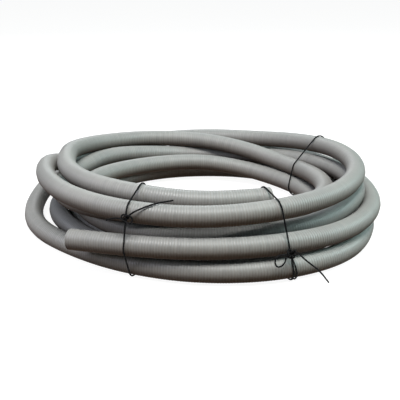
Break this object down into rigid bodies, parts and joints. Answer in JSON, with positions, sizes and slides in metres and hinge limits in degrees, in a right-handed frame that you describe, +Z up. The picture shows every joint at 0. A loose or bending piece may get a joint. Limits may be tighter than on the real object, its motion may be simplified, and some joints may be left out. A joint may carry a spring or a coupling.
{
  "type": "corrugated conduit",
  "caption": "Loose coil of grey corrugated flexible conduit with a round open bore at both cut ends, held by thin black wire ties.",
  "frame": {"origin": "centre of the coil's box, on the floor", "axes": "+Z up along the coil's axis, +Y to the back of the picture, +X to its right"},
  "size_m": [0.5223, 0.5395, 0.1113],
  "materials": {
    "conduit": "satin",
    "tie": "matt"
  },
  "bodies": {
    "root": {"conduit": "conduit", "tie_front_left": "tie", "tie_front_right": "tie", "tie_back_right": "tie"}
  },
  "joints": []
}
